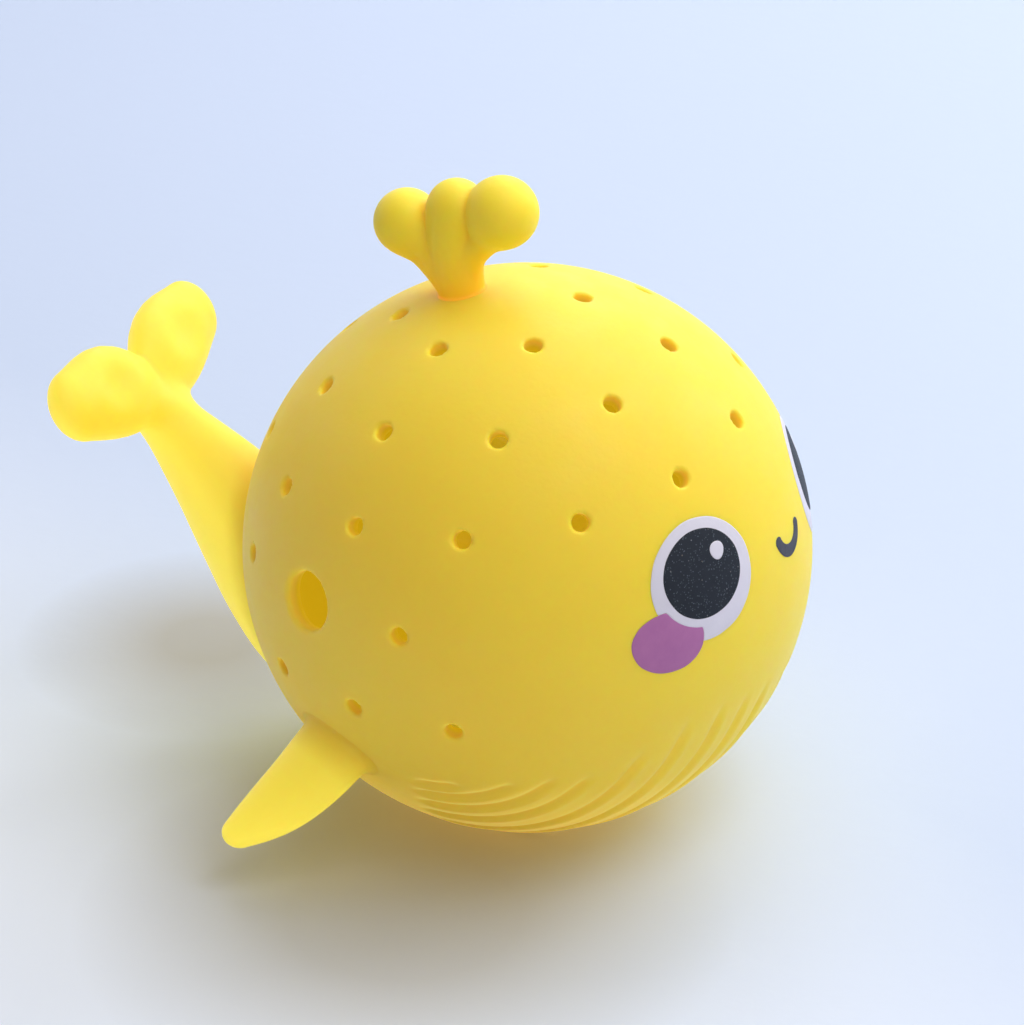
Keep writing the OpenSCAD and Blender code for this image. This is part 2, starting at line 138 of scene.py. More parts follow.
# Distance fields: each takes rows of points and gives a signed distance, negative inside

def soft_min(a, b, k):
    """The lower of two fields, blended where they differ by less than k."""
    h = np.maximum(k - np.abs(a - b), 0) / k
    return np.minimum(a, b) - h * h * k / 4


def soft_max(a, b, k):
    return -soft_min(-a, -b, k)


def ball(p, centre, r):
    return np.linalg.norm(p - np.asarray(centre, float), axis=1) - r


def round_cone(p, a, b, ra, rb):
    """A ball of radius ra at a, one of rb at b, and the tapered skin between them."""
    a, b = np.asarray(a, float), np.asarray(b, float)
    ba = b - a
    l2 = ba @ ba
    rr = ra - rb
    a2 = max(l2 - rr * rr, 1e-9)
    pa = p - a
    y = pa @ ba
    z = y - l2
    x2 = ((pa * l2 - np.outer(y, ba)) ** 2).sum(1)
    y2, z2 = y * y * l2, z * z * l2
    k = np.sign(rr) * rr * rr * x2
    near_b = np.sign(z) * a2 * z2 > k
    near_a = np.sign(y) * a2 * y2 < k
    side = (np.sqrt(x2 * a2 / l2) + y * rr) / l2
    return np.where(near_b, np.sqrt(x2 + z2) / l2 - rb, np.where(near_a, np.sqrt(x2 + y2) / l2, side) - ra)


def curve(rows, steps=5):
    """A smooth curve through rows of numbers."""
    rows = np.array(rows, float)
    ends = np.vstack([2 * rows[0] - rows[1], rows, 2 * rows[-1] - rows[-2]])
    out = []
    for a, b, c, d in zip(ends, ends[1:], ends[2:], ends[3:]):
        for t in np.arange(steps) / steps:
            bend = (2 * a - 5 * b + 4 * c - d) + t * (3 * b - a - 3 * c + d)
            out.append(b + 0.5 * t * ((c - a) + t * bend))
    return np.array(out + [rows[-1]])


def limb(p, rows, steps=5):
    """A round limb on a smooth curve through rows of x, y, z and radius."""
    f = None
    for a, b in zip(curve(rows, steps), curve(rows, steps)[1:]):
        g = round_cone(p, a[:3], b[:3], a[3], b[3])
        f = g if f is None else np.minimum(f, g)
    return f


# Holes

def hole_list():
    """Outward direction, radius and rim rounding of every hole through the wall."""
    lean, tilt = math.radians(RING_LEAN), math.radians(-RING_TILT)
    about_y = np.array([[math.cos(tilt), 0, math.sin(tilt)], [0, 1, 0], [-math.sin(tilt), 0, math.cos(tilt)]])
    about_x = np.array([[1, 0, 0], [0, math.cos(lean), -math.sin(lean)], [0, math.sin(lean), math.cos(lean)]])
    turn = about_y @ about_x
    holes = [turn @ direction(a, 90 - polar) for a, polar in CROWN_RING]
    for polar, first, step, count in TOP_RINGS:
        holes += [turn @ direction(first + i * step, 90 - polar) for i in range(count)]
    for row, (first, step, elevation, count) in enumerate(FLANK_ROWS):
        for side in (1, -1):
            for i in range(count):
                if (row, side, i) != (0, -1, PORT_PLACE):
                    holes.append(direction(side * (first + i * step), elevation))
    first, step, elevation, _ = FLANK_ROWS[0]
    port = direction(-(first + PORT_PLACE * step), elevation)
    return [(n, HOLE_R, HOLE_RIM) for n in holes] + [(port, PORT_R, PORT_RIM)]


HOLES = hole_list()


# Body shell

def pleat_press(p, r):
    """How far the pleats press the skin in."""
    lateral = np.degrees(np.arcsin(np.clip(np.abs(p[:, 1]) / r, 0, 1)))
    below = np.degrees(np.arctan2(-p[:, 2], p[:, 0])) % 360
    swell, beside, swell_half = PLEAT_SWELL
    press = np.zeros(len(p))
    for plane, begin, end in PLEATS:
        across = np.radians(lateral - plane) * BALL_R
        fade_in = np.clip((below - begin) / PLEAT_FADE, 0, 1)
        fade_out = np.clip((end - below) / PLEAT_FADE, 0, 1)
        fade = fade_in * fade_in * (3 - 2 * fade_in) * fade_out * fade_out * (3 - 2 * fade_out)
        press += PLEAT_DEPTH * fade * np.exp(-(across / PLEAT_HALF) ** 2)
        press -= swell * fade * np.exp(-((across + beside) / swell_half) ** 2)
    return press


def shell_detail(p):
    """The ball's wall with its flat, pad, plug seat, pleats and holes."""
    r = np.maximum(np.linalg.norm(p, axis=1), 1e-6)
    outer = soft_max(r - BALL_R + pleat_press(p, r), -BALL_Z - p[:, 2], EDGE_FILLET)
    axial = np.hypot(p[:, 0], p[:, 1])
    height = p[:, 2] + BALL_Z
    pad = soft_max(axial - PAD_R, height - PAD_T, EDGE_FILLET)
    cavity = soft_max(r - (BALL_R - WALL), -pad, CAVITY_FILLET)
    f = np.maximum(outer, -cavity)
    f = np.maximum(f, -np.maximum(axial - PLUG_R, height - PLUG_T))
    f = np.maximum(f, -np.maximum(axial - NECK_R, height - PAD_T - 1))
    for n, radius, rim in HOLES:
        along = p @ n
        close = along > HOLES_FROM
        q = p[close]
        off = np.sqrt(np.maximum((q * q).sum(1) - along[close] ** 2, 0))
        near = off < radius + 2
        part = np.flatnonzero(close)[near]
        f[part] = soft_max(f[part], radius - off[near], rim)
    return f


def shell(p):
    """The ball's wall, with its detail worked out only near it."""
    r = np.linalg.norm(p, axis=1)
    f = np.abs(r - (BALL_R - WALL / 2)) - WALL / 2
    near = (f < 1.6) | (p[:, 2] < -26)
    f[near] = shell_detail(p[near])
    return f


def meet_ball(p, limb, blend, sink=0.05, depth=2.0, rim=1.0):
    """A limb that flares softly into the ball and ends a little under the ball's skin."""
    r = np.linalg.norm(p, axis=1)
    f = soft_min(limb, r - (BALL_R - sink), blend)
    f = np.maximum(f, (BALL_R - depth) - r)
    return np.maximum(f, limb - blend - rim)


# Spout

def fingers(p):
    """The front, middle and rear finger of the spout."""
    front = limb(p, [SPOUT_FOOT, *FRONT_FINGER])
    front = soft_min(front, ball(p, FRONT_LOBE[:3], FRONT_LOBE[3]), FRONT_LOBE_BLEND)
    middle = limb(p, [SPOUT_FOOT, *MIDDLE_FINGER])
    rear = limb(p, [SPOUT_FOOT, *REAR_FINGER])
    rear = soft_min(rear, ball(p, REAR_LOBE[:3], REAR_LOBE[3]), REAR_LOBE_BLEND)
    return front, middle, rear


def spout(p):
    """Three fingers that part from one foot, each with a ball at its end."""
    front, middle, rear = fingers(p)
    f = soft_min(soft_min(middle, front, FINGER_BLEND), rear, FINGER_BLEND)
    return meet_ball(p, f, FINGER_BLEND, rim=0.3)


# Tail

def tail(p):
    """A tapering stem that ends in two paddles, dimpled on top."""
    c, s = math.cos(-TAIL_SWAY), math.sin(-TAIL_SWAY)
    q = p @ np.array([[c, -s, 0], [s, c, 0], [0, 0, 1.0]]).T
    along = np.array([-math.cos(FLUKE_RISE), 0, math.sin(FLUKE_RISE)])
    face = np.array([math.sin(FLUKE_RISE), 0, math.cos(FLUKE_RISE)])
    fork = np.array([TAIL_STEM[0][0], 0, TAIL_STEM[0][1]])
    f = limb(q, [(x, 0, z, r) for x, z, r in TAIL_STEM])
    local = q - fork
    plane = np.stack([local @ along, np.abs(local[:, 1]), local @ face / FLUKE_THIN], axis=1)
    fluke = limb(plane, [(t, side, 0, w) for t, side, w in FLUKE]) * FLUKE_THIN
    f = soft_min(f, fluke, FLUKE_BLEND)
    dimple = np.linalg.norm(plane * (1, 1, FLUKE_THIN) - DIMPLE[:3], axis=1) - DIMPLE[3]
    f = soft_max(f, -dimple, DIMPLE_BLEND)
    return meet_ball(p, f, TAIL_ROOT_BLEND)


# Fins

def fin(p, side):
    """A plump flipper with a round tip, bowed forward."""
    q = p * np.array([1, side, 1.0])
    axis = unit(FIN_DIR)
    chord = unit(np.array([1.0, 0, 0]) - axis * axis[0])
    normal = np.cross(chord, axis)
    local = q - FIN_ROOT
    s = local @ axis / FIN_LEN
    bow = FIN_BOW * np.sin(np.pi * np.clip(s, 0, 1))
    flat = FIN_FLAT[0] + (FIN_FLAT[1] - FIN_FLAT[0]) * np.clip(s, 0, 1)
    m = np.stack([s * FIN_LEN, local @ chord - bow, (local @ normal) / flat], axis=1)
    f = limb(m, [(t * FIN_LEN, 0, 0, w) for t, w in FIN_STATIONS]) * flat
    return meet_ball(q, f, FIN_ROOT_BLEND)


# Meshing of a distance field

CORNERS = np.array([(i, j, k) for i in (0, 1) for j in (0, 1) for k in (0, 1)])
EDGES = [(a, b) for a in range(8) for b in range(a + 1, 8) if np.abs(CORNERS[a] - CORNERS[b]).sum() == 1]


def net(field, low, high, step):
    """Quads around the zero level of a field, one point in each cell that the level crosses."""
    low = np.asarray(low, float)
    count = np.ceil((np.asarray(high, float) - low) / step).astype(int) + 1
    axes = [low[i] + step * np.arange(count[i]) for i in range(3)]
    grid = np.stack(np.meshgrid(*axes, indexing="ij"), axis=-1).reshape(-1, 3)
    f = field(grid).reshape(count)
    inside = f < 0
    cells = tuple(count - 1)
    held = np.zeros(cells, int)
    for c in CORNERS:
        held += inside[c[0]:c[0] + cells[0], c[1]:c[1] + cells[1], c[2]:c[2] + cells[2]]
    active = (held > 0) & (held < 8)
    number = np.full(cells, -1)
    number[active] = np.arange(active.sum())
    ijk = np.argwhere(active)
    value = [f[tuple((ijk + c).T)] for c in CORNERS]
    total = np.zeros((len(ijk), 3))
    hits = np.zeros(len(ijk))
    for a, b in EDGES:
        cut = (value[a] < 0) != (value[b] < 0)
        t = value[a][cut] / (value[a][cut] - value[b][cut])
        total[cut] += CORNERS[a] + t[:, None] * (CORNERS[b] - CORNERS[a])
        hits[cut] += 1
    points = low + step * (ijk + total / hits[:, None])
    quads = []
    for axis in range(3):
        u, v = (axis + 1) % 3, (axis + 2) % 3
        first = [slice(1, -1)] * 3
        first[axis] = slice(0, -1)
        second = list(first)
        second[axis] = slice(1, None)
        a, b = inside[tuple(first)], inside[tuple(second)]
        start = np.array([1, 1, 1])
        start[axis] = 0
        for flip, where in ((False, a & ~b), (True, b & ~a)):
            at = np.argwhere(where) + start
            du, dv = np.eye(3, dtype=int)[u], np.eye(3, dtype=int)[v]
            ring = [at - du - dv, at - dv, at, at - du]
            quad = np.stack([number[tuple(c.T)] for c in ring], axis=1)
            quads.append(quad[:, ::-1] if flip else quad)
    return points, np.concatenate(quads)


def gradient(field, points, f):
    """Slope of a field at points where its value is f."""
    h = 0.01
    return np.stack([(field(points + h * np.eye(3)[i]) - f) / h for i in range(3)], axis=1)


def settle(field, points, rounds=3, reach=0.3):
    """Moves points onto the zero level."""
    for _ in range(rounds):
        f = field(points)
        g = gradient(field, points, f)
        move = -f[:, None] * g / np.maximum((g * g).sum(1), 0.05)[:, None]
        size = np.linalg.norm(move, axis=1, keepdims=True)
        points = points + move * np.minimum(1, reach / np.maximum(size, 1e-9))
    return points


def relax(points, quads, rounds):
    """Evens out the spacing of the points."""
    for _ in range(rounds):
        total = np.zeros_like(points)
        hits = np.zeros(len(points))
        for i in range(4):
            for j in ((i + 1) % 4, (i - 1) % 4):
                np.add.at(total, quads[:, i], points[quads[:, j]])
                np.add.at(hits, quads[:, i], 1)
        points = points + 0.5 * (total / np.maximum(hits, 1)[:, None] - points)
    return points


def add_object(name, points, faces, smooth=True):
    """A mesh object from millimetre points about the ball's centre."""
    mesh = bpy.data.meshes.new(name)
    placed = (np.asarray(points, float) + (0, 0, BALL_Z)) * MM
    mesh.from_pydata(placed.tolist(), [], [list(map(int, f)) for f in faces])
    mesh.update()
    if smooth:
        mesh.shade_smooth()
    obj = bpy.data.objects.new(name, mesh)
    bpy.context.scene.collection.objects.link(obj)
    return obj


def moulded(name, field, low, high, step, refine=None):
    """A moulded piece from its field, with finer faces where refine(points) is true."""
    points, quads = net(field, low, high, step)
    points = settle(field, relax(points, quads, 2))
    obj = add_object(name, points, quads)
    if refine is None:
        return obj
    bm = bmesh.new()
    bm.from_mesh(obj.data)
    bm.verts.ensure_lookup_table()
    fine = refine(points)
    edges = [e for e in bm.edges if fine[e.verts[0].index] and fine[e.verts[1].index]]
    bmesh.ops.subdivide_edges(bm, edges=edges, cuts=1, use_grid_fill=True)
    bm.to_mesh(obj.data)
    bm.free()
    count = len(obj.data.vertices)
    flat = np.empty(count * 3)
    obj.data.vertices.foreach_get("co", flat)
    points = flat.reshape(-1, 3) / MM - (0, 0, BALL_Z)
    points = settle(field, points, rounds=2)
    obj.data.vertices.foreach_set("co", ((points + (0, 0, BALL_Z)) * MM).ravel())
    obj.data.update()
    obj.data.shade_smooth()
    return obj


def near_detail(points):
    """True beside a hole and on the pleats."""
    fine = np.zeros(len(points), bool)
    for n, radius, _ in HOLES:
        along = points @ n
        off = np.sqrt(np.maximum((points ** 2).sum(1) - along ** 2, 0))
        fine |= (along > HOLES_FROM) & (off < radius + 1.3)
    r = np.linalg.norm(points, axis=1)
    fine |= (r > BALL_R - WALL / 2) & (np.abs(pleat_press(points, r)) > 0.02)
    return fine


REACH = BALL_R + 1
body_skin = moulded("body_shell_skin", shell, (-REACH, -REACH, -BALL_Z - 0.8), (REACH, REACH, REACH), 0.6,
                    near_detail)
spout_skin = moulded("spout_skin", spout, (-22, -7, 30), (4, 7, 51), 0.32)
tail_skin = moulded("tail_skin", tail, (-62, -23, -33), (-14, 22, 27), 0.6)
fin_skins = {}
for label, side in (("left", 1), ("right", -1)):
    low = (-29, 22, -33) if side > 0 else (-29, -46, -33)
    high = (-2, 46, -6) if side > 0 else (-2, -22, -6)
    fin_skins[label] = moulded(f"fin_{label}_skin", lambda p, side=side: fin(p, side), low, high, 0.45)

for obj, node in ((body_skin, "body_shell"), (spout_skin, "spout"), (tail_skin, "tail"),
                  (fin_skins["left"], "fin_left"), (fin_skins["right"], "fin_right")):
    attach(obj, "toy")
    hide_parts(node)


# Printed face: outlines lie in the plane that touches the ball at the print's own middle,
# with a to the whale's left and b up.

EYE = dict(azimuth=27.0, elevation=16.3, half_w=7.45, half_h=7.33)
PUPIL = dict(azimuth=27.1, elevation=17.5, half_w=5.7, half_h=5.3)
GLINT = dict(shift=4.3, rise=3.4, half_w=1.05, half_h=1.1)
CHEEK = dict(azimuth=36.8, elevation=6.0, half_w=4.85, half_h=3.75, tilt=-9.0, gap=1.0)
SMILE = dict(azimuth=1.6, elevation=15.0, chord=5.6, bow=2.0, stroke=1.5)
INK = 0.05


def tangent(azimuth, elevation):
    """Outward, left and up directions at a place on the ball."""
    out = direction(azimuth, elevation)
    a = math.radians(azimuth)
    left = np.array([-math.sin(a), math.cos(a), 0])
    return out, left, np.cross(out, left)


def lift_to(flat, frame_at, radius):
    """Points of a tangent plane pushed straight onto a ball."""
    out, left, up = frame_at
    depth = np.sqrt(np.maximum(np.square(radius) - (flat ** 2).sum(1), 0))
    return flat[:, :1] * left + flat[:, 1:] * up + depth[:, None] * out


def seen_from(flat, frame_from, frame_to):
    """The same spots of the ball in another print's plane."""
    solid = lift_to(flat, frame_from, BALL_R)
    return np.stack([solid @ frame_to[1], solid @ frame_to[2]], axis=1)


def oval(half_w, half_h, tilt=0.0, egg=0.0, wobble=0.0, count=120):
    """Outline of an ellipse, turned by tilt, wider at the top by egg and a little uneven by wobble."""
    t = np.arange(count) * 2 * math.pi / count
    r = 1 + wobble * (np.sin(5 * t + 0.7) + 0.6 * np.sin(9 * t + 2.1) + 0.4 * np.sin(14 * t))
    a = half_w * r * np.cos(t) * (1 + egg * np.sin(t))
    b = half_h * r * np.sin(t)
    c, s = math.cos(math.radians(tilt)), math.sin(math.radians(tilt))
    return np.stack([a * c - b * s, a * s + b * c], axis=1)


def to_outline(q, outline):
    """Distance of each point to a closed outline, and whether it lies within."""
    a, b = outline, np.roll(outline, -1, axis=0)
    ab = b - a
    t = np.clip(((q[:, None] - a) * ab).sum(2) / (ab ** 2).sum(1), 0, 1)
    gap = np.linalg.norm(q[:, None] - a - t[..., None] * ab, axis=2).min(1)
    crosses = (a[:, 1] > q[:, None, 1]) != (b[:, 1] > q[:, None, 1])
    slope = np.where(ab[:, 1] == 0, 1e-12, ab[:, 1])
    left_of = q[:, None, 0] < a[:, 0] + ab[:, 0] * (q[:, None, 1] - a[:, 1]) / slope
    return gap, (crosses & left_of).sum(1) % 2 == 1


def cut_away(outline, tool):
    """An outline less what lies within a tool's outline, which it crosses twice."""
    _, kept = to_outline(outline, tool)
    kept = ~kept
    start = next(i for i in range(len(outline)) if kept[i] and not kept[i - 1])
    run = np.roll(outline, -start, axis=0)[:kept.sum()]
    _, bite = to_outline(tool, outline)
    first = next(i for i in range(len(tool)) if bite[i] and not bite[i - 1])
    edge = np.roll(tool, -first, axis=0)[:bite.sum()]
    return np.concatenate([run, edge[::-1]])


def film(name, outline, frame_at, base, thick=INK, grain=0.5):
    """A layer of ink with a rounded edge, closed underneath, on a ball of radius base."""
    low, high = outline.min(0), outline.max(0)
    us, vs = np.meshgrid(np.arange(low[0], high[0], grain), np.arange(low[1], high[1], grain))
    us = us + (np.arange(len(us)) % 2)[:, None] * grain / 2
    cells = np.stack([us.ravel(), vs.ravel()], axis=1)
    tangents = np.roll(outline, -1, axis=0) - np.roll(outline, 1, axis=0)
    inward = np.stack([-tangents[:, 1], tangents[:, 0]], axis=1) / np.linalg.norm(tangents, axis=1)[:, None]
    insets = (0.06, 0.13, 0.22)
    edge_w = insets[-1]
    rows = [outline]
    for inset in insets:
        row = outline + inset * inward
        gap, within = to_outline(row, outline)
        rows.append(row[within & (gap > 0.93 * inset)])
    gap, within = to_outline(cells, outline)
    rows.append(cells[within & (gap > edge_w + grain * 0.45)])
    flat = np.concatenate(rows)
    verts, _, faces, *_ = delaunay_2d_cdt([Vector(q) for q in flat], [], [list(range(len(outline)))], 1, 1e-6)
    flat = np.array([v[:] for v in verts])
    gap, _ = to_outline(flat, outline)
    share = np.clip(1 - gap / edge_w, 0, 1)
    rise = thick * (0.35 + 0.65 * np.sqrt(1 - share ** 2))
    top = lift_to(flat, frame_at, base + rise)
    bottom = lift_to(flat, frame_at, base - 0.06)
    n = len(flat)
    faces = [tuple(f) for f in faces]
    count = {}
    for f in faces:
        for i in range(len(f)):
            e = (f[i], f[(i + 1) % len(f)])
            count[e] = count.get(e, 0) + 1
    rim = [e for e in count if (e[1], e[0]) not in count]
    closed = faces + [tuple(i + n for i in reversed(f)) for f in faces]
    closed += [(b, a, a + n, b + n) for a, b in rim]
    return add_object(name, np.concatenate([top, bottom]), closed)


def mirror_outline(outline):
    return (outline * (-1, 1))[::-1]


def print_face():
    """Both eyes and cheeks and the smile, outlined for the left side and mirrored for the right."""
    made = {}
    for label, side in (("left", 1), ("right", -1)):
        def shape(outline, side=side):
            return outline if side > 0 else mirror_outline(outline)
        eye_at = tangent(side * EYE["azimuth"], EYE["elevation"])
        pupil_at = tangent(side * PUPIL["azimuth"], PUPIL["elevation"])
        glint_at = tangent(side * PUPIL["azimuth"] + GLINT["shift"], PUPIL["elevation"] + GLINT["rise"])
        cheek_at = tangent(side * CHEEK["azimuth"], CHEEK["elevation"])
        pupil = shape(oval(PUPIL["half_w"], PUPIL["half_h"], wobble=0.0025))
        rim = shape(oval(PUPIL["half_w"] + CHEEK["gap"], PUPIL["half_h"] + CHEEK["gap"], count=150))
        white = shape(oval(EYE["half_w"], EYE["half_h"], wobble=0.003, count=150))
        cheek = shape(oval(CHEEK["half_w"], CHEEK["half_h"], tilt=-CHEEK["tilt"], wobble=0.004))
        rim_on_cheek = seen_from(rim, pupil_at, cheek_at)
        cheek_cut = cut_away(cheek, rim_on_cheek)
        wide = shape(oval(CHEEK["half_w"] + 0.02, CHEEK["half_h"] + 0.02, tilt=-CHEEK["tilt"], wobble=0.004))
        wide_cut = cut_away(wide, rim_on_cheek)
        white_cut = cut_away(white, seen_from(wide_cut, cheek_at, eye_at))
        glint = mirror_outline(oval(GLINT["half_w"], GLINT["half_h"], egg=0.16))
        made["eye_white_" + label] = film(f"eye_white_{label}_ink", white_cut, eye_at, BALL_R)
        made["pupil_" + label] = film(f"pupil_{label}_ink", pupil, pupil_at, BALL_R + INK * 0.8)
        made["eye_glint_" + label] = film(f"eye_glint_{label}_ink", glint, glint_at, BALL_R + INK * 1.6,
                                          grain=0.3)
        made["cheek_" + label] = film(f"cheek_{label}_ink", cheek_cut, cheek_at, BALL_R)
    half, bow = SMILE["chord"] / 2, SMILE["bow"]
    r = (half * half + bow * bow) / (2 * bow)
    spread = math.acos((r - bow) / r)
    w = SMILE["stroke"] / 2
    low = [(-math.pi / 2 + t, r + w * (1 + 0.06 * math.cos(2 * t))) for t in np.linspace(-spread, spread, 44)]
    top = [(-math.pi / 2 + t, r - w * (1 + 0.06 * math.cos(2 * t))) for t in np.linspace(spread, -spread, 30)]
    def polar(rows):
        return [(q * math.cos(t), q * math.sin(t) + r - bow) for t, q in rows]
    def cap(sign):
        t = -math.pi / 2 + sign * spread
        centre = np.array([r * math.cos(t), r * math.sin(t) + r - bow])
        turns = np.linspace(t, t + sign * math.pi, 14)[1:-1]
        return [centre + w * 1.02 * np.array([math.cos(a), math.sin(a)]) for a in turns]
    outline = np.array(polar(low) + cap(1) + polar(top) + cap(-1)[::-1])
    smile_at = tangent(SMILE["azimuth"], SMILE["elevation"])
    made["smile"] = film("smile_ink", outline, smile_at, BALL_R, grain=0.35)
    return made


def without_side(node):
    return node.replace("_left", "").replace("_right", "")


prints = print_face()
for node, obj in prints.items():
    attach(obj, "toy")
    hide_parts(node)


# Squeaker and plug: turned forms with rounded edges

def rounded(corners, radius, steps=4):
    """A closed outline with its corners rounded off."""
    pts = [np.array(c, float) for c in corners]
    out = []
    for i, p in enumerate(pts):
        a, b = pts[i - 1] - p, pts[(i + 1) % len(pts)] - p
        r = min(radius, np.linalg.norm(a) * 0.45, np.linalg.norm(b) * 0.45)
        start, end = p + unit(a) * r, p + unit(b) * r
        for t in np.linspace(0, 1, steps + 1):
            out.append((1 - t) ** 2 * start + 2 * t * (1 - t) * p + t * t * end)
    return np.array(out)


def lathe(name, profile, sides=72):
    """A ring turned about the whale's upright middle line; profile is a closed list of radius and height."""
    profile = np.asarray(profile, float)
    k = len(profile)
    turn = np.arange(sides) * 2 * math.pi / sides
    ring = np.stack([np.cos(turn), np.sin(turn)], axis=1)
    points = [(r * c, r * s, z - BALL_Z) for c, s in ring for r, z in profile]
    faces = [(i * k + j, ((i + 1) % sides) * k + j, ((i + 1) % sides) * k + (j + 1) % k, i * k + (j + 1) % k)
             for i in range(sides) for j in range(k)]
    return add_object(name, points, faces)


CUP_TOP = 7.9
BASE_T = 1.6
BELLOWS_H = 36.0
BELLOWS_FOLDS = 6
BELLOWS_MID = 9.25
BELLOWS_SWING = 1.28
BELLOWS_WALL = 0.8


def make_plug():
    """Lip under the belly, neck through the pad and cup for the squeaker."""
    vent, lip, neck, cup_out, cup_in, cup_floor = 1.5, 8.5, 6.0, 7.5, 5.9, 4.6
    corners = [(vent, 0), (lip, 0), (lip, PLUG_T), (neck, PLUG_T), (neck, PAD_T), (cup_out, PAD_T),
               (cup_out, CUP_TOP), (cup_in, CUP_TOP), (cup_in, cup_floor), (vent, cup_floor)]
    return lathe("belly_plug_soft", rounded(corners, 0.35))


def make_bellows():
    """Round folds that swing between the neck and the full width."""
    foot = CUP_TOP + BASE_T
    z = np.linspace(0, BELLOWS_H, BELLOWS_FOLDS * 12 + 1)
    phase = 2 * math.pi * BELLOWS_FOLDS * z / BELLOWS_H
    swing = -np.cos(phase) + 0.12 * np.cos(3 * phase)
    mid = BELLOWS_MID + BELLOWS_SWING * swing
    outer = np.stack([mid + BELLOWS_WALL / 2, z + foot], axis=1)
    inner = np.stack([mid - BELLOWS_WALL / 2, z + foot], axis=1)[::-1]
    return lathe("bellows_folds", np.concatenate([outer, inner]), 64)


plug = make_plug()
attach(plug, "toy")
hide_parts("belly_plug")

bellows = make_bellows()
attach(bellows, "toy")
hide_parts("bellows")
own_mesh(bellows)


# Materials

class Look:
    """A material, with short ways to add nodes to it. Scales of patterns are in cells to the metre."""

    def __init__(self, name):
        self.material = bpy.data.materials.new(name)
        self.material.use_nodes = True
        self.tree = self.material.node_tree
        self.shader = self.tree.nodes["Principled BSDF"]

    def add(self, kind, inputs=None, **settings):
        """A node with its settings; inputs are given by name or number, as a value or another node's socket."""
        node = self.tree.nodes.new(kind)
        for key, value in settings.items():
            setattr(node, key, value)
        self.fill(node, inputs or {})
        return node

    def fill(self, node, inputs):
        for key, value in inputs.items():
            socket = node.inputs[key]
            if isinstance(value, bpy.types.NodeSocket):
                self.tree.links.new(value, socket)
            else:
                socket.default_value = value

    def set(self, **inputs):
        """Inputs of the shader itself, with _ for each space in a name."""
        self.fill(self.shader, {k.replace("_", " "): v for k, v in inputs.items()})

    def where(self):
        return self.add("ShaderNodeTexCoord").outputs["Object"]

    def noise(self, scale, detail=3.0, rough=0.5):
        return self.add("ShaderNodeTexNoise", {"Vector": self.where(), "Scale": scale, "Detail": detail,
                                               "Roughness": rough}).outputs["Fac"]

    def span(self, value, from_min, from_max, to_min, to_max):
        return self.add("ShaderNodeMapRange", {"Value": value, "From Min": from_min, "From Max": from_max,
                                               "To Min": to_min, "To Max": to_max}).outputs["Result"]

    def blend(self, share, first, second):
        """From a first colour to a second."""
        return self.add("ShaderNodeMix", {0: share, 6: first, 7: second}, data_type="RGBA").outputs[2]

    def between(self, share, first, second):
        """From a first number to a second."""
        return self.add("ShaderNodeMix", {0: share, 2: first, 3: second}, data_type="FLOAT").outputs[0]

    def maths(self, operation, a, b):
        return self.add("ShaderNodeMath", {0: a, 1: b}, operation=operation).outputs[0]

    def vector(self, operation, *others):
        """A number from the place on the object and any other vector."""
        inputs = dict(enumerate((self.where(), *others)))
        return self.add("ShaderNodeVectorMath", inputs, operation=operation).outputs["Value"]

    def specks(self, scale, size, share):
        """Small round dots in a share of the cells of a random pattern: 1 on a dot, and the cell's own tint."""
        cells = self.add("ShaderNodeTexVoronoi", {"Vector": self.where(), "Scale": scale})
        dot = self.maths("LESS_THAN", cells.outputs["Distance"], size)
        tone = self.add("ShaderNodeSeparateColor", {"Color": cells.outputs["Color"]})
        return self.maths("MULTIPLY", dot, self.maths("LESS_THAN", tone.outputs[0], share)), tone.outputs[1]

    def bump(self, height, distance, strength=1.0, normal=None):
        inputs = {"Height": height, "Distance": distance, "Strength": strength}
        if normal is not None:
            inputs["Normal"] = normal
        return self.add("ShaderNodeBump", inputs).outputs["Normal"]


def rgb(r, g, b):
    return (r, g, b, 1.0)


# The side that daylight comes from, for the vinyl's painted glow
LIGHT_FROM = (0.55, 0.40, 0.75)
# Distances from the ball's centre: where a limb's root starts to take its painted shade tone, and where it has
# it
ROOT_SHADE_FADE = (39, 35.2)
# Distances from the ball's centre: where the wall stops to look as outside, and where it takes the painted
# shade and glow of the inside
WALL_FADE = (34.6, 33.6)
# Heights over the ball's centre between which the spout's colour is painted deeper towards its foot as painted
# shade, and how far
FOOT_SHADE_FADE = (41.5, 35.5)
FOOT_SHADE_SHARE = 0.9

# Distance at which surfaces start to shade each other in a crease, for the painted crease shade
CREASE_REACH = 6

PAINTED_ROOT_SHADE_TONE = (0.95, 0.67, 0.02)
PAINTED_FOOT_SHADE_TONE = (0.97, 0.62, 0.010)
PAINTED_INSIDE_SHADE_TONE = (0.50, 0.28, 0.01)
PAINTED_CREASE_SHADE_TONE = (0.95, 0.55, 0.010)
DUST_TONE = (0.20, 0.13, 0.02)

# Painted glows that grow as the skin turns away from the light: shares of the way round where they start and
# end, and strengths
SHELL_GLOW = dict(tone=(1.0, 0.60, 0.16), start=0.2, end=0.7, least=0.03, most=0.10)
UNDER_GLOW = dict(start=0.75, end=1.0, least=0, most=0.40)
LIMB_GLOW = dict(tone=(1.0, 0.84, 0.11), start=0.1, end=0.6, least=0.03, most=0.51)
LIMB_GLOW_AT_ROOT = 0.15
# Even painted glows: tone and strength
INSIDE_GLOW = dict(tone=(1.0, 0.80, 0.015), strength=0.30)
SPOUT_GLOW = dict(tone=(1.0, 0.78, 0.03), strength=0.07)
FOOT_GLOW = dict(tone=(1.0, 0.58, 0.01), strength=0.17)
SQUEAKER_GLOW = dict(tone=(1.0, 0.74, 0.03), strength=0.09)


